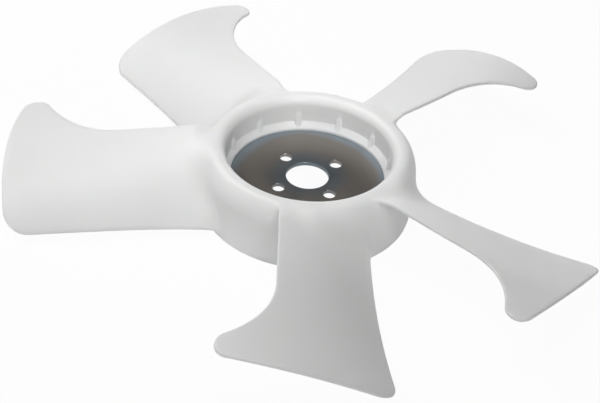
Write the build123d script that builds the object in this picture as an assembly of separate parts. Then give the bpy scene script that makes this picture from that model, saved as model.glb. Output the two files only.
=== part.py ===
from build123d import *
import os
from math import atan2, cos, degrees, hypot, radians, sin, sqrt

# Engine cooling fan: a ring and five blades moulded in one piece around the rim of a steel hub plate.
# Millimetres. The fan's axis is Z, and z = 0 is the plate's underside, its seat on the drive flange.

# Hub plate
plate_thickness = 2.6
bore_radius = 15.0
bolt_circle_radius = 25.0
bolt_hole_radius = 4.25
bolt_count = 4
bolt_start_angle = 45.0
plate_edge_break = 0.3
key_hole_radius = 1.5
key_hole_count = 12

# Ring section: the window shows the plate, and the plastic grips the plate's rim above and below
window_radius = 53.7
rim_grip = 4.8
cover_above_plate = 1.8
cover_below_plate = 2.6
recess_step = 3.8
recess_slope_rise = 4.2
crown_height = 28.1
crown_inner_width = 6.5
crown_inner_rise = 7.0
crown_outer_width = 10.7
crown_outer_drop = 16.5
skirt_draft = 1.2
foot_level = -20.6
foot_width = 3.7
foot_round = 0.8
plate_rim_radius = window_radius + rim_grip
recess_radius = window_radius + recess_step
crown_radius = recess_radius + crown_inner_width
shoulder_radius = crown_radius + crown_outer_width
shoulder_height = crown_height - crown_outer_drop
foot_radius = shoulder_radius - skirt_draft

# Coring of the ring from below, with radial webs left standing in it
inner_wall = 3.7
skirt_wall_top = 5.5
crown_roof = 7.7
core_round = 2.5
web_count = 12
web_thickness = 3.0
core_inner_radius = recess_radius + inner_wall
core_outer_radius = shoulder_radius - skirt_wall_top
core_roof = crown_height - crown_roof

# Ribs on the wall of the recess above the plate
rib_count = 12
rib_start_angle = 45.0
rib_width = 4.6
rib_depth_foot = 2.9
rib_depth_top = 1.3
rib_below_crown = 10.1
rib_slant_height = 4.5
rib_round = 1.0
rib_bury = 1.0

# Blades, unevenly spaced: the angles about Z of the lines that they are laid out on
fan_radius = 210.0
blade_headings = (-22.1, 60.2, 132.8, 194.6, 282.4)
root_clear = 5.3
root_bury = 12.0
span_start = shoulder_radius + root_clear

# Blade outline in plan, for a blade laid out on +X: a long edge at +Y, and a hooked lobe at -Y
long_edge_root = 37.0
long_edge_tip = 40.5
long_edge_hollow = 2.9
tip_corner_radius = 15.0
tip_arc_offset = 8.3
lobe_radius = 9.9
lobe_angle = -20.5
lobe_edge_root = -26.4
lobe_edge_slope = -0.087
hook_radius = 51.4

# Blade surface at the root, at mid span and at the tip: height, fall towards the long edge, and camber
root_below_crown = 11.6
height_middle = 9.0
height_tip = 8.0
fall_root = 0.564
fall_middle = 0.478
fall_tip = 0.354
camber_radius_root = 105.0
camber_radius_tip = 154.0
blade_thickness_root = 3.2
blade_thickness_tip = 2.6
height_root = crown_height - root_below_crown

# Blade roots: they thicken towards the ring's wall, and dip inside the ring to stay under its crown
flare_length = 9.0
flare_height = 3.0
crown_dip = 0.0016

# Working sizes for cutting tools and surface sheets
overlap = 1.0
sheet_margin = 6.0
sheet_columns = 40
sheet_rows = 30
sheet_grading = 1.7
sheet_tolerance = 0.03
blade_room = 2 * (crown_height - foot_level)


def around(shape, count, start):
    """Copies of a shape, evenly turned about Z from a start angle."""
    return [Rot(0, 0, start + i * 360 / count) * shape for i in range(count)]


def turned(section):
    """A solid of revolution about Z, from a face drawn as (radius, height)."""
    return revolve(Plane.XZ * section, Axis.Z)


# Hub plate

def make_plate():
    seat = (Align.CENTER, Align.CENTER, Align.MIN)
    disc = Cylinder(plate_rim_radius, plate_thickness, align=seat)
    drill_height = plate_thickness + 2 * overlap
    bore = Pos(0, 0, -overlap) * Cylinder(bore_radius, drill_height, align=seat)
    bolt = Pos(bolt_circle_radius, 0, -overlap) * Cylinder(bolt_hole_radius, drill_height, align=seat)
    key_circle_radius = (window_radius + plate_rim_radius) / 2
    key = Pos(key_circle_radius, 0, -overlap) * Cylinder(key_hole_radius, drill_height, align=seat)
    plate = disc - bore - around(bolt, bolt_count, bolt_start_angle)
    upper_rims = plate.edges().filter_by(GeomType.CIRCLE).filter_by(
        lambda edge: edge.radius < window_radius and edge.center().Z > plate_thickness / 2)
    plate = chamfer(upper_rims, plate_edge_break)
    key_step = 360 / key_hole_count
    return plate - around(key, key_hole_count, bolt_start_angle + key_step / 2)


# Ring

def skirt_inside(height):
    """Radius of the skirt's inner face, which tapers in from the foot to the roof of the coring."""
    share = (height - foot_level) / (core_roof - foot_level)
    return (foot_radius - foot_width) * (1 - share) + core_outer_radius * share


def make_ring():
    cover_top = plate_thickness + cover_above_plate
    crown_spring = crown_height - crown_inner_rise
    outer_crown = EllipticalCenterArc((crown_radius, shoulder_height), shoulder_radius - crown_radius,
                                      crown_height - shoulder_height, start_angle=0, arc_size=90)
    inner_crown = EllipticalCenterArc((crown_radius, crown_spring), crown_radius - recess_radius,
                                      crown_inner_rise, start_angle=90, arc_size=90)
    below = -cover_below_plate
    inside = Polyline((recess_radius, crown_spring), (recess_radius, cover_top + recess_slope_rise),
                      (window_radius, cover_top), (window_radius, below), (skirt_inside(below), below),
                      (skirt_inside(foot_level), foot_level), (foot_radius, foot_level),
                      (shoulder_radius, shoulder_height))
    section = make_face([outer_crown, inner_crown] + inside.edges())
    feet = section.vertices().filter_by(lambda corner: corner.Y < foot_level + overlap)
    section = fillet(feet, foot_round)
    return turned(section)


def make_coring():
    bottom = -cover_below_plate - overlap
    section = make_face(Polyline((core_inner_radius, bottom), (core_inner_radius, core_roof),
                                 (core_outer_radius, core_roof), (skirt_inside(bottom), bottom), close=True))
    corners = section.vertices().filter_by(lambda corner: corner.Y > core_roof - overlap)
    section = fillet(corners, core_round)
    web_reach = core_outer_radius + foot_width
    web = Pos(0, 0, bottom) * Box(web_reach, web_thickness, core_roof - bottom + overlap,
                                  align=(Align.MIN, Align.CENTER, Align.MIN))
    return turned(section) - around(web, web_count, rib_start_angle)


def make_rib():
    buried_foot = plate_thickness + cover_above_plate / 2
    wall = recess_radius + rib_bury
    top = crown_height - rib_below_crown
    profile = make_face(Polyline((recess_radius - rib_depth_foot, buried_foot),
                                 (recess_radius - rib_depth_top, top - rib_slant_height),
                                 (wall, top), (wall, buried_foot), close=True))
    rib = extrude(Plane.XZ * profile, amount=rib_width / 2, both=True)
    noses = rib.edges().filter_by(lambda edge: abs(edge.center().Y) > overlap / 10).filter_by(
        lambda edge: edge.center().Z > buried_foot + overlap and edge.center().X < recess_radius + overlap / 10)
    return fillet(noses, rib_round)


# Blades

def meeting_point(center_a, radius_a, center_b, radius_b, near):
    """The point at both distances from two centers, and of the two such points the nearer to a third."""
    gap = center_b - center_a
    along = (radius_a ** 2 - radius_b ** 2 + gap.length ** 2) / (2 * gap.length)
    aside = sqrt(radius_a ** 2 - along ** 2)
    axis = gap.normalized()
    middle = center_a + axis * along
    side = Vector(-axis.Y, axis.X) * aside
    return min((middle + side, middle - side), key=lambda point: (point - near).length)


def arc_from(center, start, end, clockwise):
    first = degrees(atan2(start.Y - center.Y, start.X - center.X))
    last = degrees(atan2(end.Y - center.Y, end.X - center.X))
    sweep = (last - first) % 360
    return CenterArc(center, (start - center).length, first, sweep - 360 if clockwise else sweep)


def blade_outline():
    """The blade's plan: long edge, tip corner, tip arc, lobe, hook and straight lobe edge, all tangent."""
    tip_center = Vector(0, tip_arc_offset)
    tip_end = Vector(sqrt(fan_radius ** 2 - long_edge_tip ** 2), long_edge_tip)
    tip_radius = (tip_end - tip_center).length

    edge_start = Vector(span_start, long_edge_root)
    chord = tip_end - edge_start
    edge_radius = chord.length ** 2 / (8 * long_edge_hollow) + long_edge_hollow / 2
    across = Vector(-chord.Y, chord.X).normalized()
    edge_center = (edge_start + tip_end) * 0.5 + across * (edge_radius - long_edge_hollow)

    corner_center = meeting_point(tip_center, tip_radius - tip_corner_radius,
                                  edge_center, edge_radius + tip_corner_radius, tip_end)
    corner_on_edge = corner_center + (edge_center - corner_center).normalized() * tip_corner_radius
    corner_on_tip = corner_center + (corner_center - tip_center).normalized() * tip_corner_radius

    lobe_way = Vector(cos(radians(lobe_angle)), sin(radians(lobe_angle)))
    lobe_center = tip_center + lobe_way * (tip_radius - lobe_radius)
    lobe_on_tip = tip_center + lobe_way * tip_radius

    line_way = Vector(1, lobe_edge_slope).normalized()
    line_aside = Vector(line_way.Y, -line_way.X)
    hook_line = Vector(span_start, lobe_edge_root) + line_aside * hook_radius - lobe_center
    hook_reach = hook_radius + lobe_radius
    along = hook_line.dot(line_way)
    hook_center = lobe_center + hook_line - line_way * (
        along + sqrt(along ** 2 - hook_line.length ** 2 + hook_reach ** 2))
    hook_on_lobe = lobe_center + (hook_center - lobe_center).normalized() * lobe_radius
    hook_on_line = hook_center - line_aside * hook_radius

    root = shoulder_radius - root_bury
    root_on_edge = Vector(root, edge_center.Y - sqrt(edge_radius ** 2 - (edge_center.X - root) ** 2))
    root_on_line = Vector(root, lobe_edge_root + (root - span_start) * lobe_edge_slope)
    return make_face([
        Line(root_on_line, root_on_edge),
        arc_from(edge_center, root_on_edge, corner_on_edge, clockwise=False),
        arc_from(corner_center, corner_on_edge, corner_on_tip, clockwise=True),
        arc_from(tip_center, corner_on_tip, lobe_on_tip, clockwise=True),
        arc_from(lobe_center, lobe_on_tip, hook_on_lobe, clockwise=True),
        arc_from(hook_center, hook_on_lobe, hook_on_line, clockwise=False),
        Line(hook_on_line, root_on_line),
    ])


def along_span(share, root, middle, tip):
    """A smooth run through the values at the root, at mid span and at the tip."""
    return (root * (2 * share - 1) * (share - 1) + middle * 4 * share * (1 - share)
            + tip * share * (2 * share - 1))


def limited(value):
    return min(1.0, max(0.0, value))


def root_flare(radius):
    """Share of the root's thickening: a parabola outside the ring's wall, run on straight inside it."""
    out = (radius - shoulder_radius) / flare_length
    return (1 - limited(out)) ** 2 + 2 * max(0.0, -out)


def blade_height(x, y, side):
    """Height of the blade's upper (side 1) or lower (side -1) surface over a point of its plan."""
    radius = hypot(x, y)
    arc = radius * atan2(y, x)
    share = max(0.0, (radius - span_start) / (fan_radius - span_start))
    camber = (1 - share) / camber_radius_root + share / camber_radius_tip
    dip = crown_dip * max(0.0, span_start - radius) ** 3
    middle = (along_span(share, height_root, height_middle, height_tip)
              - along_span(share, fall_root, fall_middle, fall_tip) * arc - camber * arc ** 2 / 2 - dip)
    thickness = blade_thickness_root + (blade_thickness_tip - blade_thickness_root) * share
    wall = crown_height - middle if side > 0 else middle - foot_level
    room = limited(wall / crown_outer_drop)
    flare = flare_height * room ** 2 * (3 - 2 * room) * root_flare(radius)
    return middle + side * (thickness / 2 + flare)


def blade_sheet(box, side):
    """A smooth sheet through the heights of one blade surface, with more columns towards the root."""
    span = box.size.X + 2 * sheet_margin
    width = box.size.Y + 2 * sheet_margin
    steps = [(i / sheet_columns) ** sheet_grading for i in range(sheet_columns + 1)]
    columns = [box.min.X - sheet_margin + span * step for step in steps]
    rows = [box.min.Y - sheet_margin + width * j / sheet_rows for j in range(sheet_rows + 1)]
    heights = [[Vector(x, y, blade_height(x, y, side)) for y in rows] for x in columns]
    return Face.make_surface_from_array_of_points(heights, tol=sheet_tolerance, min_deg=3)


def make_blade():
    outline = blade_outline()
    box = outline.bounding_box()
    prism = extrude(Pos(0, 0, -blade_room / 2) * outline, amount=blade_room)
    above = extrude(blade_sheet(box, 1), amount=blade_room, dir=(0, 0, 1))
    below = extrude(blade_sheet(box, -1), amount=blade_room, dir=(0, 0, -1))
    return prism - above - below


# One moulding, and the plate that it holds

def make_hollow():
    """All the room inside the ring, up to just within its walls: no blade root may reach into it."""
    section = make_face(Polyline((0, foot_level - overlap), (skirt_inside(foot_level) + overlap, foot_level - overlap),
                                 (skirt_inside(core_roof) + overlap, core_roof), (recess_radius, core_roof),
                                 (recess_radius, crown_height + overlap), (0, crown_height + overlap), close=True))
    return turned(section)


def make_moulding(plate):
    blade = make_blade() - make_hollow()
    body = make_ring() + [Rot(0, 0, heading) * blade for heading in blade_headings]
    body = body - make_coring()
    body = body + around(make_rib(), rib_count, rib_start_angle)
    return body - plate


os.makedirs("parts", exist_ok=True)
hub_plate = make_plate()
fan_moulding = make_moulding(hub_plate)
export_step(hub_plate, "parts/hub_plate.step")
export_step(fan_moulding, "parts/fan_moulding.step")
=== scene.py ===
import math

import bmesh
import bpy
import numpy as np
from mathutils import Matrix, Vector
from mathutils.geometry import delaunay_2d_cdt


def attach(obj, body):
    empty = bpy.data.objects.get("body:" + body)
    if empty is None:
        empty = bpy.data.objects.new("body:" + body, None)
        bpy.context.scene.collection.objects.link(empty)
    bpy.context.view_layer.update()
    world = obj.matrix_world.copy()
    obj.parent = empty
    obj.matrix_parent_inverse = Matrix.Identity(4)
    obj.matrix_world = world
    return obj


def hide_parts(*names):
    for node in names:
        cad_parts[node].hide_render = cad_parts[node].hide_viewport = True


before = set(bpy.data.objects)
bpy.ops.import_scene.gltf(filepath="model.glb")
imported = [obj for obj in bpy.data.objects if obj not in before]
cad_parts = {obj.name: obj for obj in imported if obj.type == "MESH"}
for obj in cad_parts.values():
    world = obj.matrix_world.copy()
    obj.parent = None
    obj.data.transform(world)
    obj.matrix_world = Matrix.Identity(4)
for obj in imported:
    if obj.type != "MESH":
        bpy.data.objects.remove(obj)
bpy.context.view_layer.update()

# Engine cooling fan: the moulding is rebuilt here with soft blade roots and rounded rims.
# Shapes are worked out in millimetres and stored in metres.
MM = 0.001

# Ring section
PLATE_TOP = 2.6
PLATE_RIM = 58.5
WINDOW = 53.7
COVER_TOP = 4.4
COVER_BOTTOM = -2.6
RECESS = 57.5
RECESS_SLOPE_TOP = 8.6
CROWN_R = 64.0
CROWN_Z = 28.1
CROWN_SPRING = 21.1
SHOULDER_R = 74.7
SHOULDER_Z = 11.6
FOOT_R = 73.5
FOOT_Z = -20.6
FOOT_INNER = 69.8
CORE_INNER = 61.2
CORE_OUTER = 69.2
CORE_ROOF = 20.4
RING_STEPS = 300

# Ribs in the recess and webs in the coring
RIB_COUNT = 12
RIB_START = 45.0
RIB_WIDTH = 4.6
RIB_FOOT_R = 54.6
RIB_SHOULDER = (56.2, 13.5)
RIB_TOP_Z = 18.0
RIB_ROUND = 1.2
WEB_THICKNESS = 3.0

# Blades
HEADINGS = (-22.1, 60.2, 132.8, 194.6, 282.4)
FAN_R = 210.0
SPAN_START = 80.0
LONG_EDGE_ROOT = 37.0
LONG_EDGE_TIP = 40.5
LONG_EDGE_HOLLOW = 2.9
TIP_CORNER_R = 15.0
TIP_ARC_OFFSET = 8.3
LOBE_R = 9.9
LOBE_ANGLE = -20.5
LOBE_EDGE_ROOT = -26.4
LOBE_EDGE_SLOPE = -0.087
HOOK_R = 51.4
HEIGHTS = (16.5, 9.0, 8.0)
FALLS = (0.564, 0.478, 0.354)
CAMBERS = (105.0, 154.0)
THICKNESSES = (3.2, 2.6)
CROWN_DIP = 0.0016
RIM_ROUND = 1.1

# Blade roots: how far the edges run into the ring, and the size of the soft blend on each side
ROOT_CAP = 28.4
ROOT_CAP_SLOPE = 0.25
LOBE_EDGE_END = 66.0
LONG_EDGE_END = 72.4
BLEND_ABOVE = 16.0
BLEND_LOBE = 4.0
BLEND_BELOW = 4.0


# Small helpers

def smoothstep(value):
    value = np.clip(value, 0.0, 1.0)
    return value * value * (3 - 2 * value)


def smooth_min(a, b, size):
    share = np.clip((size - np.abs(a - b)) / size, 0.0, 1.0)
    return np.minimum(a, b) - share * share * size / 4


def unit(vector):
    return vector / np.hypot(*vector)


def arc_points(center, radius, first, last, step):
    """Points along an arc from one angle to another, in radians, without the last one."""
    count = max(3, int(abs(last - first) * radius / step))
    turn = np.linspace(first, last, count, endpoint=False)
    return np.stack([center[0] + radius * np.cos(turn), center[1] + radius * np.sin(turn)], -1)


def arc_between(center, start, end, clockwise, step):
    first = math.atan2(start[1] - center[1], start[0] - center[0])
    sweep = (math.atan2(end[1] - center[1], end[0] - center[0]) - first) % (2 * math.pi)
    if clockwise:
        sweep -= 2 * math.pi
    return arc_points(center, np.hypot(*(start - center)), first, first + sweep, step)


def line_points(start, end, step):
    count = max(2, int(np.hypot(*(end - start)) / step))
    return start + np.linspace(0, 1, count, endpoint=False)[:, None] * (end - start)


def meeting_point(center_a, radius_a, center_b, radius_b, near):
    gap = center_b - center_a
    length = np.hypot(*gap)
    along = (radius_a ** 2 - radius_b ** 2 + length ** 2) / (2 * length)
    aside = math.sqrt(radius_a ** 2 - along ** 2)
    axis = gap / length
    side = np.array([-axis[1], axis[0]]) * aside
    middle = center_a + axis * along
    return min((middle + side, middle - side), key=lambda point: np.hypot(*(point - near)))


def new_object(name, points, faces):
    """An object from points in millimetres, with its normals turned outwards."""
    mesh = bpy.data.meshes.new(name)
    mesh.from_pydata([tuple(point) for point in np.asarray(points) * MM], [], faces)
    build = bmesh.new()
    build.from_mesh(mesh)
    bmesh.ops.recalc_face_normals(build, faces=build.faces)
    build.to_mesh(mesh)
    build.free()
    thing = bpy.data.objects.new(name, mesh)
    bpy.context.scene.collection.objects.link(thing)
    return thing


# Ring

def round_corner(before, corner, after, radius, steps):
    """Points of a small arc in place of a corner."""
    before, corner, after = (np.array(point, float) for point in (before, corner, after))
    way_in = unit(before - corner)
    way_out = unit(after - corner)
    half = math.acos(np.clip(way_in @ way_out, -1, 1)) / 2
    center = corner + unit(way_in + way_out) * radius / math.sin(half)
    start = corner + way_in * radius / math.tan(half)
    end = corner + way_out * radius / math.tan(half)
    turn = np.linspace(0, 1, steps + 1)[:, None]
    spokes = (start - center) * (1 - turn) + (end - center) * turn
    return [tuple(center + unit(spoke) * radius) for spoke in spokes]


def crown_outside(count):
    """Points up the crown's outer quarter, from the shoulder to the top."""
    width, height = SHOULDER_R - CROWN_R, CROWN_Z - SHOULDER_Z
    return [(CROWN_R + width * math.cos(a), SHOULDER_Z + height * math.sin(a))
            for a in np.linspace(0, math.pi / 2, count)]


def crown_inside(count):
    """Points down the crown's inner quarter, from just past the top to the recess."""
    width, height = CROWN_R - RECESS, CROWN_Z - CROWN_SPRING
    return [(CROWN_R - width * math.sin(a), CROWN_SPRING + height * math.cos(a))
            for a in np.linspace(0, math.pi / 2, count)][1:]


def ring_profile():
    outer = crown_outside(26)
    inner = crown_inside(18)
    skirt_foot = (FOOT_R, FOOT_Z)
    skirt = [tuple(point) for point in line_points(np.array(skirt_foot), np.array(outer[0]), 1.6)[1:]]
    slope_top = (RECESS, RECESS_SLOPE_TOP)
    slope_foot = (WINDOW, COVER_TOP)
    inside = round_corner(inner[-1], slope_top, slope_foot, 1.2, 4)
    inside += round_corner(slope_top, slope_foot, (WINDOW, PLATE_TOP), 0.6, 3)
    slot = [(WINDOW, PLATE_TOP), (PLATE_RIM, PLATE_TOP), (PLATE_RIM, 0.0), (WINDOW, 0.0)]
    below = round_corner((WINDOW, 0.0), (WINDOW, COVER_BOTTOM), (CORE_INNER, COVER_BOTTOM), 0.5, 2)
    below += round_corner((WINDOW, COVER_BOTTOM), (CORE_INNER, COVER_BOTTOM), (CORE_INNER, CORE_ROOF), 0.5, 2)
    foot_inside = (FOOT_INNER, FOOT_Z)
    core = round_corner((CORE_INNER, COVER_BOTTOM), (CORE_INNER, CORE_ROOF), (CORE_OUTER, CORE_ROOF), 2.5, 5)
    core += round_corner((CORE_INNER, CORE_ROOF), (CORE_OUTER, CORE_ROOF), foot_inside, 2.5, 5)
    foot = round_corner((CORE_OUTER, CORE_ROOF), foot_inside, skirt_foot, 0.8, 3)
    foot += round_corner(foot_inside, skirt_foot, (SHOULDER_R, SHOULDER_Z), 0.8, 3)
    return skirt + outer + inner + inside + slot + below + core + foot


def make_ring():
    profile = np.array(ring_profile())
    count = len(profile)
    points = []
    for k in range(RING_STEPS):
        turn = 2 * math.pi * k / RING_STEPS
        radius, height = profile.T
        points.append(np.stack([radius * math.cos(turn), radius * math.sin(turn), height], -1))
    faces = []
    for k in range(RING_STEPS):
        here = k * count
        there = (k + 1) % RING_STEPS * count
        for i in range(count):
            j = (i + 1) % count
            faces.append((here + i, here + j, there + j, there + i))
    return new_object("ring", np.concatenate(points), faces)


def prism(name, profile, width, angle, round_size=0.0):
    """A radial plate from a profile of (radius, height); its front edges may be rounded."""
    count = len(profile)
    points = [(r, side * width / 2, z) for side in (-1, 1) for r, z in profile]
    faces = [tuple(range(count)), tuple(range(count, 2 * count))]
    faces += [(i, (i + 1) % count, count + (i + 1) % count, count + i) for i in range(count)]
    thing = new_object(name, points, faces)
    if round_size:
        build = bmesh.new()
        build.from_mesh(thing.data)
        front = []
        for edge in build.edges:
            heights = [v.co.z for v in edge.verts]
            stands_clear = min(heights) > COVER_TOP * MM or abs(heights[0] - heights[1]) > MM
            if stands_clear and min(v.co.x for v in edge.verts) < RECESS * MM:
                front.append(edge)
        bmesh.ops.bevel(build, geom=front, offset=round_size * MM, segments=4, profile=0.5, affect="EDGES")
        build.to_mesh(thing.data)
        build.free()
    turn = math.radians(angle)
    for v in thing.data.vertices:
        x, y = v.co.x, v.co.y
        v.co.x = x * math.cos(turn) - y * math.sin(turn)
        v.co.y = x * math.sin(turn) + y * math.cos(turn)
    return thing


def make_ribs_and_webs():
    bury = 1.0
    rib = [(RIB_FOOT_R, (PLATE_TOP + COVER_TOP) / 2), RIB_SHOULDER, (RECESS + bury, RIB_TOP_Z),
           (RECESS + bury, (PLATE_TOP + COVER_TOP) / 2)]
    web = [(CORE_INNER - bury, COVER_BOTTOM), (CORE_INNER - bury, CORE_ROOF + bury),
           (CORE_OUTER + bury, CORE_ROOF + bury), (CORE_OUTER + bury, COVER_BOTTOM)]
    made = []
    for k in range(RIB_COUNT):
        angle = RIB_START + 360 * k / RIB_COUNT
        made.append(prism("rib", rib, RIB_WIDTH, angle, RIB_ROUND))
        made.append(prism("web", web, WEB_THICKNESS, angle))
    return made


# Blades

def root_limit(turn):
    """How far in the root runs: deep under the crown on the lobe side, within the skirt elsewhere."""
    deep, shallow = 63.5, 72.4
    change_start, change_width = -5.0, 16.0
    return deep + (shallow - deep) * smoothstep((SHOULDER_R * turn - change_start) / change_width)


def tip_end_point():
    return np.array([math.sqrt(FAN_R ** 2 - LONG_EDGE_TIP ** 2), LONG_EDGE_TIP])


def long_edge():
    """Centre and radius of the hollow arc along the long edge."""
    start = np.array([SPAN_START, LONG_EDGE_ROOT])
    chord = tip_end_point() - start
    radius = chord @ chord / (8 * LONG_EDGE_HOLLOW) + LONG_EDGE_HOLLOW / 2
    aside = unit(np.array([-chord[1], chord[0]])) * (radius - LONG_EDGE_HOLLOW)
    return start + chord / 2 + aside, radius


def blade_loop():
    """The blade's plan as one closed loop, from its lobe edge round the tip to its root inside the ring."""
    fine, coarse = 1.2, 2.0
    tip_center = np.array([0.0, TIP_ARC_OFFSET])
    tip_end = tip_end_point()
    tip_radius = np.hypot(*(tip_end - tip_center))

    edge_center, edge_radius = long_edge()
    corner = meeting_point(tip_center, tip_radius - TIP_CORNER_R,
                           edge_center, edge_radius + TIP_CORNER_R, tip_end)
    corner_on_edge = corner + unit(edge_center - corner) * TIP_CORNER_R
    corner_on_tip = corner + unit(corner - tip_center) * TIP_CORNER_R

    lobe_way = np.array([math.cos(math.radians(LOBE_ANGLE)), math.sin(math.radians(LOBE_ANGLE))])
    lobe = tip_center + lobe_way * (tip_radius - LOBE_R)
    lobe_on_tip = tip_center + lobe_way * tip_radius

    line_way = unit(np.array([1.0, LOBE_EDGE_SLOPE]))
    line_aside = np.array([line_way[1], -line_way[0]])
    line_root = np.array([SPAN_START, LOBE_EDGE_ROOT])
    reach = line_root + line_aside * HOOK_R - lobe
    along = reach @ line_way
    hook = lobe + reach - line_way * (along + math.sqrt(along ** 2 - reach @ reach + (HOOK_R + LOBE_R) ** 2))
    hook_on_lobe = lobe + unit(hook - lobe) * LOBE_R
    hook_on_line = hook - line_aside * HOOK_R

    along = line_root @ line_way
    to_end = math.sqrt(along ** 2 - line_root @ line_root + LOBE_EDGE_END ** 2) - along
    lobe_end = line_root + line_way * to_end
    long_end = meeting_point(np.zeros(2), LONG_EDGE_END,
                             edge_center, edge_radius, np.array([SHOULDER_R, LONG_EDGE_ROOT]))
    first = math.atan2(*long_end[::-1])
    last = math.atan2(*lobe_end[::-1])
    turns = np.linspace(first, last, int((first - last) * SHOULDER_R / coarse))[3:-2]
    depth = root_limit(turns)
    root = np.stack([depth * np.cos(turns), depth * np.sin(turns)], -1)
    return np.concatenate([
        line_points(lobe_end, hook_on_line, coarse),
        arc_between(hook, hook_on_line, hook_on_lobe, True, coarse),
        arc_between(lobe, hook_on_lobe, lobe_on_tip, False, fine),
        arc_between(tip_center, lobe_on_tip, corner_on_tip, False, coarse),
        arc_between(corner, corner_on_tip, corner_on_edge, False, fine),
        arc_between(edge_center, corner_on_edge, long_end, True, coarse),
        root,
    ])


def inset(loop, distance):
    """The loop moved inwards; it runs anticlockwise."""
    ahead = np.roll(loop, -1, axis=0) - loop
    ahead /= np.hypot(*ahead.T)[:, None]
    behind = np.roll(ahead, 1, axis=0)
    normal = np.stack([-(ahead + behind)[:, 1], (ahead + behind)[:, 0]], -1)
    normal /= np.hypot(*normal.T)[:, None]
    return loop + normal * distance


def inside_loop(points, loop):
    """Which points lie inside a loop."""
    x, y = points[:, 0:1], points[:, 1:2]
    x0, y0 = loop[:, 0], loop[:, 1]
    x1, y1 = np.roll(x0, -1), np.roll(y0, -1)
    crosses = (y0 > y) != (y1 > y)
    rise = np.where(y1 == y0, 1e-9, y1 - y0)
    return (crosses & (x < (x1 - x0) * (y - y0) / rise + x0)).sum(1) % 2 == 1


def loop_distance(points, loop):
    start, end = loop, np.roll(loop, -1, axis=0)
    way = end - start
    gap = points[:, None, :] - start
    share = np.clip((gap * way).sum(-1) / (way * way).sum(-1), 0, 1)
    return np.linalg.norm(gap - share[..., None] * way, axis=-1).min(1)


def plan_points(loop):
    """Points inside the blade's plan, in arcs about the fan's axis that crowd towards the ring's wall."""
    near_pitch, far_pitch, far_start = 1.8, 2.8, 90.0
    half_turn = 0.75
    rim_clearance = 0.45
    radii = [64.6, 66.0, 67.5, 69.0, 70.3, 71.4, 72.3, 73.0, 73.6, 74.1, 74.5, 74.8, 75.1,
             75.5, 76.0, 76.6, 77.3, 78.1, 79.0, 80.1, 81.4, 82.9, 84.6, 86.5, 88.6, 90.9]
    while radii[-1] < FAN_R:
        radii.append(radii[-1] + far_pitch)
    found = []
    for k, radius in enumerate(radii):
        pitch = near_pitch if radius < far_start else far_pitch
        turn = np.arange(-half_turn, half_turn, pitch / radius) + (k % 2) * pitch / radius / 2
        row = np.stack([radius * np.cos(turn), radius * np.sin(turn)], -1)
        row = row[inside_loop(row, loop)]
        if len(row):
            found.append(row[loop_distance(row, loop) > pitch * rim_clearance])
    return np.concatenate(found)


def along_span(share, values):
    """A value that passes through its root, middle and tip values on a parabola."""
    root, middle, tip = values
    at_root = root * (2 * share - 1) * (share - 1)
    return at_root + middle * 4 * share * (1 - share) + tip * share * (2 * share - 1)


def middle_and_thickness(x, y):
    """Height of the blade's middle surface, and its thickness."""
    cap_start, cap_blend = 76.0, 2.0
    free_start, free_width = 92.0, 12.0
    radius = np.hypot(x, y)
    arc = radius * np.arctan2(y, x)
    share = np.maximum(0.0, (radius - SPAN_START) / (FAN_R - SPAN_START))
    camber = (1 - share) / CAMBERS[0] + share / CAMBERS[1]
    thickness = THICKNESSES[0] + (THICKNESSES[1] - THICKNESSES[0]) * share
    middle = along_span(share, HEIGHTS) - along_span(share, FALLS) * arc - camber * arc ** 2 / 2
    cap = ROOT_CAP + ROOT_CAP_SLOPE * np.maximum(0.0, radius - cap_start) - thickness / 2
    near = 1 - smoothstep((radius - free_start) / free_width)
    capped = smooth_min(middle, cap, cap_blend)
    dip = CROWN_DIP * np.maximum(0.0, SPAN_START - radius) ** 3
    return middle * (1 - near) + capped * near - dip, thickness


def ring_outline():
    """The ring's outer surface in section, from the foot over the crown into the recess."""
    return np.array([(FOOT_R, FOOT_Z)] + crown_outside(44) + crown_inside(16))


def ring_distance(radius, height, outline):
    """Distance from the ring's outer surface, below zero inside it."""
    point = np.stack([radius, height], -1)[:, None, :]
    start, way = outline[:-1], np.diff(outline, axis=0)
    share = np.clip(((point - start) * way).sum(-1) / (way * way).sum(-1), 0, 1)
    distance = np.linalg.norm(point - start - share[..., None] * way, axis=-1).min(1)
    wall = np.where(height > SHOULDER_Z,
                    CROWN_R + (SHOULDER_R - CROWN_R) * np.sqrt(np.clip(
                        1 - ((height - SHOULDER_Z) / (CROWN_Z - SHOULDER_Z)) ** 2, 0, 1)),
                    SHOULDER_R - (SHOULDER_R - FOOT_R) * (SHOULDER_Z - height) / (SHOULDER_Z - FOOT_Z))
    return np.where((radius < wall) & (height < CROWN_Z), -distance, distance)


def blade_surfaces(x, y):
    """Heights of the upper and lower surfaces; inside the ring the lower one rises clear of the coring."""
    rise_start, rise_width, least_thickness = 0.8, 3.0, 1.2
    middle, thickness = middle_and_thickness(x, y)
    upper = middle + thickness / 2
    lower = middle - thickness / 2
    buried = CORE_ROOF + 1.0
    depth = -ring_distance(np.hypot(x, y), lower, ring_outline())
    inward = smoothstep((depth - rise_start) / rise_width)
    raised = np.minimum(np.maximum(lower, lower + (buried - lower) * inward), upper - least_thickness)
    return upper, np.maximum(lower, raised)


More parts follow.
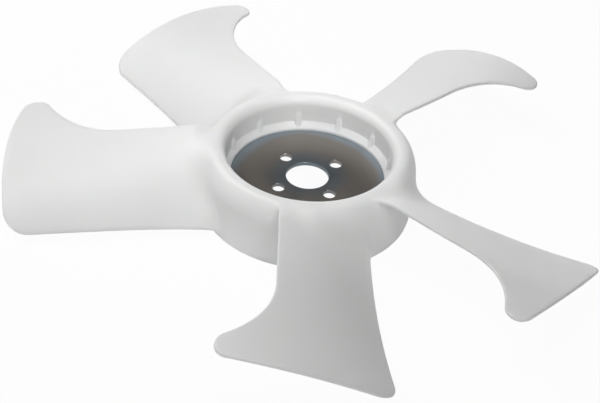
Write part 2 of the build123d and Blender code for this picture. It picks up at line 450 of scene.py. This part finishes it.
def blade_field(x, y, z, side):
    """Distance from one side of a blade on +X that runs into the ring, and the size of its blend there."""
    lean = 0.87
    lobe_width, long_width = 26.0, 6.0
    radius = np.hypot(x, y)
    middle, thickness = middle_and_thickness(x, y)
    edge_center, edge_radius = long_edge()
    past_lobe = (LOBE_EDGE_ROOT + (x - SPAN_START) * LOBE_EDGE_SLOPE - y) / math.hypot(1, LOBE_EDGE_SLOPE)
    past_long = edge_radius - np.hypot(x - edge_center[0], y - edge_center[1])
    past_root = root_limit(np.arctan2(y, x)) - radius
    plan = np.maximum(np.maximum(past_lobe, past_long), past_root) + RIM_ROUND
    face = side * (z - middle) * lean - thickness / 2 + RIM_ROUND
    outer = np.hypot(np.maximum(plan, 0), np.maximum(face, 0))
    distance = np.minimum(np.maximum(plan, face), 0) + outer - RIM_ROUND
    top_size = BLEND_LOBE + (BLEND_ABOVE - BLEND_LOBE) * smoothstep(-past_lobe / lobe_width)
    top_size = top_size + (BLEND_BELOW - top_size) * smoothstep(past_long / long_width + 0.5)
    return distance, np.where(side > 0, top_size, BLEND_BELOW)


def cleaned_root_mesh(mesh):
    """Takes sliver faces and many-sided faces away beside the roots."""
    inner, outer, slivers = 60 * MM, 100 * MM, 0.1 * MM
    build = bmesh.new()
    build.from_mesh(mesh)
    beside = [v for v in build.verts if inner < math.hypot(v.co.x, v.co.y) < outer]
    bmesh.ops.remove_doubles(build, verts=beside, dist=slivers)
    beside = {v for v in build.verts if inner < math.hypot(v.co.x, v.co.y) < outer}
    bmesh.ops.triangulate(build, faces=[face for face in build.faces if beside.issuperset(face.verts)])
    build.to_mesh(mesh)
    build.free()


def eased(points, edges, chosen):
    """Chosen points moved half way to the mean of their neighbours."""
    total = np.zeros_like(points)
    count = np.zeros(len(points))
    for here, there in (edges.T, edges.T[::-1]):
        np.add.at(total, here, points[there])
        np.add.at(count, here, 1)
    return (points[chosen] + total[chosen] / count[chosen, None]) / 2


def soften_roots(mesh):
    """Moves the surface beside each blade's root out to a smooth blend of blade and ring."""
    cleaned_root_mesh(mesh)
    outline = ring_outline()
    flat = np.empty(len(mesh.vertices) * 3)
    mesh.vertices.foreach_get("co", flat)
    points = flat.reshape(-1, 3) / MM
    edges = np.empty(len(mesh.edges) * 2, int)
    mesh.edges.foreach_get("vertices", edges)
    edges = edges.reshape(-1, 2)
    probes = np.array([[1, 1, 1], [1, -1, -1], [-1, 1, -1], [-1, -1, 1]])
    reach = 0.04
    half_turn, nearest, farthest = 0.95, 60, 98
    buried = -0.25
    first_steps, rounds, later_steps = 6, 6, 2

    def parts(place, side):
        ring = ring_distance(np.hypot(place[:, 0], place[:, 1]), place[:, 2], outline)
        return ring, *blade_field(*place.T, side)

    def blended(place, side, steps):
        for _ in range(steps):
            value = smooth_min(*parts(place, side))
            slope = sum(smooth_min(*parts(place + probe * reach, side))[:, None] * probe for probe in probes)
            slope /= 4 * reach
            place = place - slope * (value / np.maximum((slope ** 2).sum(1), 0.05))[:, None]
        return place

    for heading in HEADINGS:
        turn = math.radians(heading)
        cosine, sine = math.cos(turn), math.sin(turn)
        spin = np.array([[cosine, sine, 0], [-sine, cosine, 0], [0, 0, 1]])
        local = points @ spin.T
        radius = np.hypot(local[:, 0], local[:, 1])
        ahead = np.abs(np.arctan2(local[:, 1], local[:, 0])) < half_turn
        beside = np.flatnonzero(ahead & (radius > nearest) & (radius < farthest))
        side = np.where(local[beside, 2] > middle_and_thickness(*local[beside, :2].T)[0], 1.0, -1.0)
        ring, blade, size = parts(local[beside], side)
        chosen = (ring > buried) & (np.maximum(ring, blade) < size) & (np.abs(ring - blade) < size)
        beside, side = beside[chosen], side[chosen]
        local[beside] = blended(local[beside], side, first_steps)
        for _ in range(rounds):
            local[beside] = eased(local, edges, beside)
            local[beside] = blended(local[beside], side, later_steps)
        points[beside] = local[beside] @ spin
    mesh.vertices.foreach_set("co", (points * MM).ravel())
    mesh.update()


def make_blade():
    """One blade on +X: two skins over the same plan points, joined by a rounded rim."""
    loop = blade_loop()
    skin_loop = inset(loop, RIM_ROUND)
    inner = plan_points(skin_loop)
    flat = [Vector(point) for point in np.concatenate([skin_loop, inner])]
    count = len(skin_loop)
    plan, _, triangles, _, _, _ = delaunay_2d_cdt(flat, [], [list(range(count))], 1, 1e-5)
    plan = np.array([tuple(point) for point in plan])
    upper, lower = blade_surfaces(plan[:, 0], plan[:, 1])
    total = len(plan)
    points = [np.column_stack([plan, upper]), np.column_stack([plan, lower])]
    faces = [tuple(face) for face in triangles]
    faces += [tuple(total + i for i in reversed(face)) for face in triangles]

    rows = [np.arange(count)]
    bends = np.radians([22.5, 45.0, 67.5, 90.0])
    size = 2 * total
    for side, angles in ((0, bends), (1, bends[::-1])):
        for angle in angles:
            edge = inset(loop, RIM_ROUND * (1 - math.sin(angle)))
            height = blade_surfaces(edge[:, 0], edge[:, 1])[side]
            drop = RIM_ROUND * (1 - math.cos(angle))
            points.append(np.column_stack([edge, height - drop if side == 0 else height + drop]))
            rows.append(np.arange(size, size + count))
            size += count
    rows.append(np.arange(total, total + count))
    for upper_row, lower_row in zip(rows[:-1], rows[1:]):
        for i in range(count):
            j = (i + 1) % count
            faces.append((upper_row[i], lower_row[i], lower_row[j], upper_row[j]))
    return np.concatenate(points), faces


def make_blades():
    points, faces = make_blade()
    made = []
    for heading in HEADINGS:
        turn = math.radians(heading)
        x = points[:, 0] * math.cos(turn) - points[:, 1] * math.sin(turn)
        y = points[:, 0] * math.sin(turn) + points[:, 1] * math.cos(turn)
        made.append(new_object("blade", np.column_stack([x, y, points[:, 2]]), faces))
    return made


def united(name, base, tool):
    """One object that fuses a base and a tool, which are both removed."""
    union = base.modifiers.new("union", "BOOLEAN")
    union.operation = "UNION"
    union.solver = "MANIFOLD"
    union.object = tool
    bpy.context.view_layer.update()
    depsgraph = bpy.context.evaluated_depsgraph_get()
    mesh = bpy.data.meshes.new_from_object(base.evaluated_get(depsgraph))
    bpy.data.objects.remove(base)
    bpy.data.objects.remove(tool)
    mesh.name = name
    whole = bpy.data.objects.new(name, mesh)
    bpy.context.scene.collection.objects.link(whole)
    return whole


def make_moulding():
    body = make_ring()
    for piece in make_blades() + make_ribs_and_webs():
        body = united("moulding", body, piece)
    soften_roots(body.data)
    body.data.shade_smooth()
    body.data.set_sharp_from_angle(angle=math.radians(40))
    return body


# Materials

class Nodes:
    """Short calls for a material's node tree."""

    def __init__(self, name):
        self.material = bpy.data.materials.new(name)
        self.material.use_nodes = True
        self.tree = self.material.node_tree
        self.shader = self.tree.nodes["Principled BSDF"]
        self.output = self.tree.nodes["Material Output"]

    def add(self, kind, **values):
        node = self.tree.nodes.new(kind)
        for key, value in values.items():
            setattr(node, key, value)
        return node

    def link(self, source, target):
        self.tree.links.new(source, target)

    def coords(self):
        return self.add("ShaderNodeTexCoord").outputs["Object"]

    def noise(self, coords, scale, detail=3.0, roughness=0.5):
        node = self.add("ShaderNodeTexNoise")
        node.inputs["Scale"].default_value = scale
        node.inputs["Detail"].default_value = detail
        node.inputs["Roughness"].default_value = roughness
        self.link(coords, node.inputs["Vector"])
        return node.outputs["Fac"]

    def ramp(self, source, stops):
        node = self.add("ShaderNodeValToRGB")
        line = node.color_ramp.elements
        while len(line) < len(stops):
            line.new(0.5)
        for element, (place, colour) in zip(line, stops):
            element.position = place
            element.color = (*colour, 1.0)
        self.link(source, node.inputs["Fac"])
        return node.outputs["Color"]

    def maths(self, operation, a, b=None, clamp=False):
        node = self.add("ShaderNodeMath", operation=operation, use_clamp=clamp)
        for socket, value in zip(node.inputs, (a, b)):
            if value is None:
                continue
            if isinstance(value, (int, float)):
                socket.default_value = value
            else:
                self.link(value, socket)
        return node.outputs[0]

    def bump(self, height, strength, distance):
        node = self.add("ShaderNodeBump")
        node.inputs["Strength"].default_value = strength
        node.inputs["Distance"].default_value = distance
        self.link(height, node.inputs["Height"])
        self.link(node.outputs["Normal"], self.shader.inputs["Normal"])


def natural_plastic():
    m = Nodes("natural_plastic")
    coords = m.coords()
    cloud = m.noise(coords, 16.0, detail=2.0)
    grain = m.noise(coords, 900.0, detail=2.0)
    colour = m.ramp(cloud, [(0.3, (0.905, 0.91, 0.90)), (0.7, (0.93, 0.93, 0.925))])
    m.link(colour, m.shader.inputs["Base Color"])
    gloss = m.ramp(m.noise(coords, 60.0), [(0.3, (0.34, 0.34, 0.34)), (0.7, (0.42, 0.42, 0.42))])
    m.link(gloss, m.shader.inputs["Roughness"])
    m.shader.inputs["Subsurface Weight"].default_value = 0.6
    m.shader.inputs["Subsurface Radius"].default_value = (1.0, 0.97, 0.9)
    m.shader.inputs["Subsurface Scale"].default_value = 0.004
    m.shader.inputs["IOR"].default_value = 1.5
    m.bump(grain, 0.05, 0.0002)
    return m.material


def zinc_steel():
    m = Nodes("zinc_steel")
    coords = m.coords()
    split = m.add("ShaderNodeSeparateXYZ")
    m.link(coords, split.inputs[0])
    x, y = split.outputs[0], split.outputs[1]
    radius = m.maths("SQRT", m.maths("ADD", m.maths("MULTIPLY", x, x), m.maths("MULTIPLY", y, y)))
    reach = m.maths("DIVIDE", radius, 0.054)
    drift = m.maths("MULTIPLY", m.maths("SUBTRACT", m.noise(coords, 22.0, detail=2.0), 0.5), 0.3)
    tint = m.ramp(m.maths("ADD", reach, drift, clamp=True), [
        (0.28, (0.17, 0.20, 0.22)), (0.42, (0.21, 0.215, 0.22)), (0.60, (0.27, 0.245, 0.22)),
        (0.86, (0.28, 0.26, 0.24)), (0.97, (0.30, 0.35, 0.39))])
    m.link(tint, m.shader.inputs["Base Color"])
    m.shader.inputs["Metallic"].default_value = 0.78
    rough = m.ramp(m.noise(coords, 60.0, detail=2.0), [(0.3, (0.34, 0.34, 0.34)), (0.7, (0.42, 0.42, 0.42))])
    m.link(rough, m.shader.inputs["Roughness"])
    m.bump(m.noise(coords, 1400.0, detail=2.0), 0.03, 0.0001)
    return m.material


def floor_material():
    """A pale floor that glows to the camera but still takes the fan's shadow."""
    glow_share = 0.96
    m = Nodes("floor")
    m.shader.inputs["Base Color"].default_value = (0.9, 0.9, 0.9, 1.0)
    m.shader.inputs["Roughness"].default_value = 0.9
    m.shader.inputs["Specular IOR Level"].default_value = 0.0
    glow = m.add("ShaderNodeEmission")
    glow.inputs["Strength"].default_value = 1.0
    mix = m.add("ShaderNodeMixShader")
    path = m.add("ShaderNodeLightPath")
    seen = m.maths("MAXIMUM", path.outputs["Is Camera Ray"], path.outputs["Is Glossy Ray"])
    seen = m.maths("MAXIMUM", seen, path.outputs["Is Transmission Ray"])
    m.link(m.maths("MULTIPLY", seen, glow_share), mix.inputs[0])
    m.link(m.shader.outputs[0], mix.inputs[1])
    m.link(glow.outputs[0], mix.inputs[2])
    m.link(mix.outputs[0], m.output.inputs["Surface"])
    return m.material


# Pieces

moulding = make_moulding()
moulding.data.materials.clear()
moulding.data.materials.append(natural_plastic())
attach(moulding, "root")
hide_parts("fan_moulding")

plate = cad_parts["hub_plate"]
plate.data.materials.clear()
plate.data.materials.append(zinc_steel())


# Studio

def make_floor():
    half = 6.0
    mesh = bpy.data.meshes.new("floor")
    level = FOOT_Z * MM
    corners = [(-half, -half, level), (half, -half, level), (half, half, level), (-half, half, level)]
    mesh.from_pydata(corners, [], [(0, 1, 2, 3)])
    thing = bpy.data.objects.new("floor", mesh)
    thing.data.materials.append(floor_material())
    bpy.context.scene.collection.objects.link(thing)


def place_lamp(name, lamp, place, target):
    thing = bpy.data.objects.new(name, lamp)
    thing.location = place
    thing.rotation_euler = (Vector(target) - Vector(place)).to_track_quat("-Z", "Y").to_euler()
    bpy.context.scene.collection.objects.link(thing)


def make_lamp(name, place, size, power):
    """A soft square or oblong lamp that points at the fan's middle."""
    lamp = bpy.data.lights.new(name, "AREA")
    lamp.shape = "RECTANGLE"
    lamp.size, lamp.size_y = size
    lamp.energy = power
    place_lamp(name, lamp, place, (0, 0, 0))


def make_spot(name, place, target, cone, power):
    """A snooted lamp with a soft edge."""
    lamp = bpy.data.lights.new(name, "SPOT")
    lamp.spot_size = math.radians(cone)
    lamp.spot_blend = 0.9
    lamp.shadow_soft_size = 0.06
    lamp.energy = power
    place_lamp(name, lamp, place, target)


def make_world():
    """A dim room with a soft fill from the front; the camera sees it white."""
    front_fill = 1.05
    world = bpy.data.worlds.new("studio")
    bpy.context.scene.world = world
    world.use_nodes = True
    tree = world.node_tree
    back = tree.nodes["Background"]
    back.inputs["Color"].default_value = (1.0, 1.0, 1.0, 1.0)
    way = tree.nodes.new("ShaderNodeSeparateXYZ")
    tree.links.new(tree.nodes.new("ShaderNodeTexCoord").outputs["Generated"], way.inputs[0])
    path = tree.nodes.new("ShaderNodeLightPath")

    def step(operation, value, other):
        node = tree.nodes.new("ShaderNodeMath")
        node.operation = operation
        tree.links.new(value, node.inputs[0])
        if isinstance(other, float):
            node.inputs[1].default_value = other
        else:
            tree.links.new(other, node.inputs[1])
        return node.outputs[0]

    front = step("MINIMUM", way.outputs["Y"], 0.0)
    fill = step("MULTIPLY", step("MULTIPLY", front, front), front_fill)
    tree.links.new(step("MAXIMUM", fill, path.outputs["Is Camera Ray"]), back.inputs["Strength"])


def make_camera():
    """The camera found by fitting the fan's outline, plate and holes to the photograph."""
    focal_px, image_width, sensor = 1507.4, 600.0, 36.0
    elevation, roll, turn = 0.6633, -0.0792, math.radians(5.28)
    distance, shift_right, shift_up, lift = 1049.5, 5.03, 17.19, 1.3
    right = np.array([1.0, 0.0, 0.0])
    forward = np.array([0.0, math.cos(elevation), -math.sin(elevation)])
    up = np.array([0.0, math.sin(elevation), math.cos(elevation)])
    right, up = math.cos(roll) * right - math.sin(roll) * up, math.sin(roll) * right + math.cos(roll) * up
    place = -shift_right * right - shift_up * up - distance * forward
    spin = np.array([[math.cos(turn), -math.sin(turn), 0], [math.sin(turn), math.cos(turn), 0], [0, 0, 1]])
    right, up, forward, place = spin @ right, spin @ up, spin @ forward, spin @ place + np.array([0, 0, lift])
    camera = bpy.data.cameras.new("camera")
    camera.sensor_width = sensor
    camera.lens = focal_px / image_width * sensor
    camera.clip_start = 0.05
    camera.clip_end = 50.0
    thing = bpy.data.objects.new("camera", camera)
    rows = np.eye(4)
    rows[:3, 0], rows[:3, 1], rows[:3, 2], rows[:3, 3] = right, up, -forward, place * MM
    thing.matrix_world = [list(row) for row in rows.T]
    bpy.context.scene.collection.objects.link(thing)
    bpy.context.scene.camera = thing


make_floor()
make_world()
make_lamp("top", (-0.05, 0.0, 1.4), (0.35, 0.35), 3.4)
make_lamp("top left", (-0.45, 0.05, 1.1), (0.5, 0.5), 2.1)
make_lamp("left", (-0.7, 0.35, 0.8), (0.6, 0.6), 3.5)
make_lamp("far left", (-0.6, 0.9, 0.5), (0.6, 0.5), 0.6)
make_lamp("far", (0.1, 1.3, 0.3), (1.2, 0.5), 3.1)
make_spot("hub", (0.42, -0.75, 0.95), (-0.01, 0.035, 0.015), 9.5, 22.0)
make_spot("left blade", (-0.45, -0.3, 1.2), (-0.13, -0.055, 0.0), 7.5, 9.5)
make_camera()
bpy.context.scene.view_settings.view_transform = "Standard"
